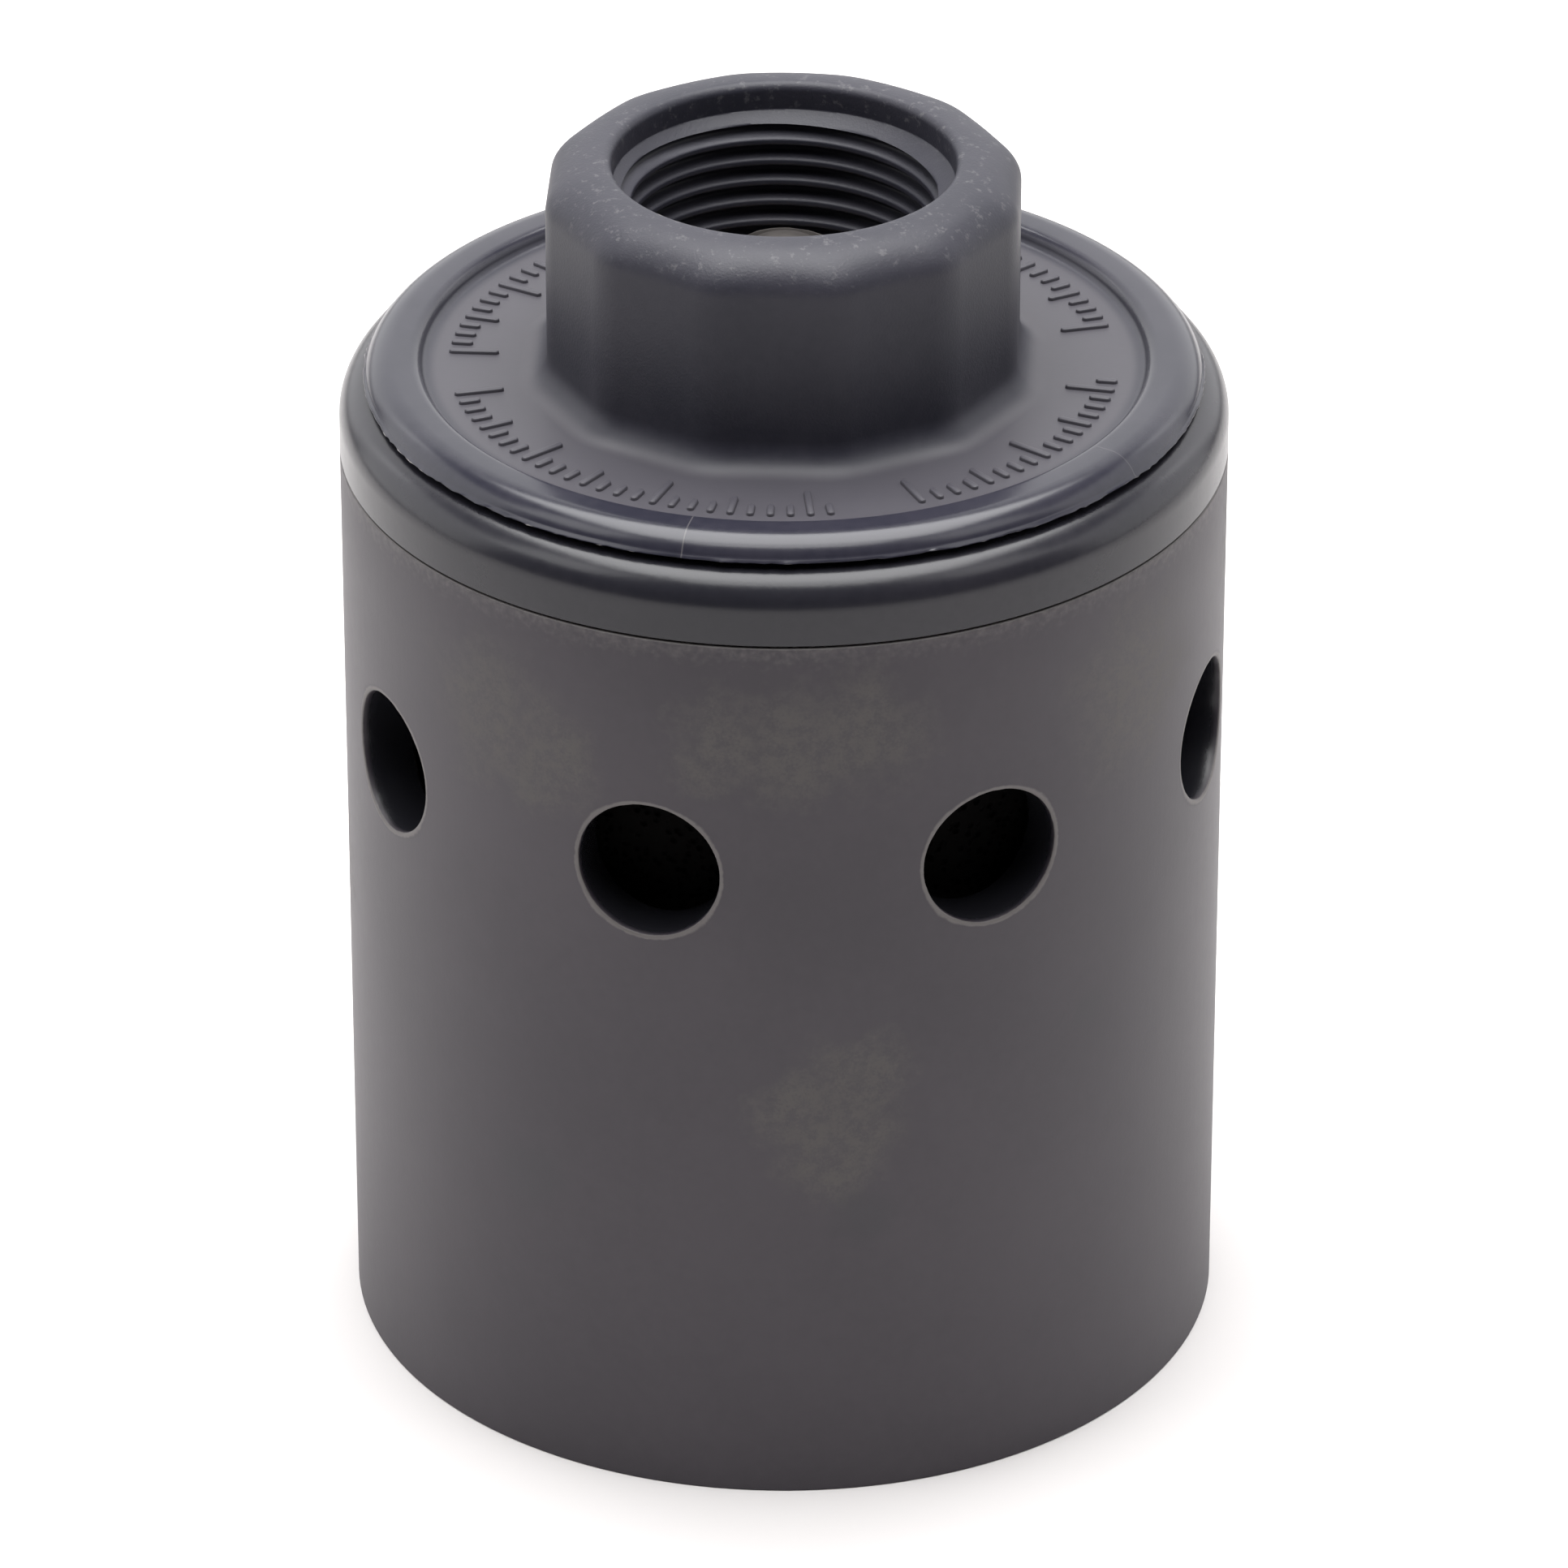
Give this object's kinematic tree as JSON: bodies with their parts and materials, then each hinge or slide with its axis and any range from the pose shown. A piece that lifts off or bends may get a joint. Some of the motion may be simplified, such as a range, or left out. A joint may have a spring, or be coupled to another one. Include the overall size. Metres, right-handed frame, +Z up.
{
  "type": "pneumatic exhaust muffler",
  "caption": "Upright cylindrical exhaust muffler with a twelve-sided threaded inlet boss, a ring of side outlets and a spring-closed poppet inside.",
  "frame": {"origin": "centre of the bottom face, on the axis", "axes": "+Z up the axis towards the threaded inlet; +X and +Y each point through the middle of an exhaust hole"},
  "size_m": [0.0888, 0.0888, 0.1277],
  "materials": {
    "pipe_plastic": "dull dark grey extruded pipe plastic with pale chalky blotches",
    "moulded_plastic": "satin dark grey moulded plastic, glossy on rounded edges",
    "white_plastic": "off-white moulded acetal",
    "bush_brass": "turned brass",
    "steel": "turned stainless steel",
    "spring_steel": "drawn stainless spring wire",
    "seal_rubber": "smooth black rubber",
    "black_foam": "open-cell black foam",
    "grey_felt": "pressed grey felt"
  },
  "bodies": {
    "housing": {"body_tube": "pipe_plastic", "collar_ring": "moulded_plastic", "inlet_cap": "moulded_plastic", "base_plate": "pipe_plastic", "guide_spider": "white_plastic", "guide_bush": "bush_brass", "seat_ring": "bush_brass", "seat_screw_1": "steel", "seat_screw_2": "steel", "seat_screw_3": "steel", "seat_screw_4": "steel", "diffuser_tube": "white_plastic", "diffuser_screw_1": "steel", "diffuser_screw_2": "steel", "diffuser_screw_3": "steel", "lower_guide": "white_plastic", "lower_bush": "bush_brass", "guide_screw_1": "steel", "guide_screw_2": "steel", "guide_screw_3": "steel", "acoustic_sleeve": "black_foam", "acoustic_pad": "grey_felt", "base_o_ring": "seal_rubber", "base_snap_ring": "steel", "return_spring": "spring_steel"},
    "poppet": {"poppet_stem": "steel", "poppet_disc": "white_plastic", "poppet_seal": "seal_rubber", "seal_retainer": "steel", "stem_lock_nut": "steel", "stem_stop_washer": "steel", "stem_dome_nut": "steel"}
  },
  "joints": [
    {"name": "poppet_lift", "type": "slide", "parent": "housing", "child": "poppet", "axis": [0, 0, -1], "range_m": [0, 0.0075], "stiffness_N_per_m": 600, "springref_m": -0.008, "deforming": ["return_spring"]}
  ]
}
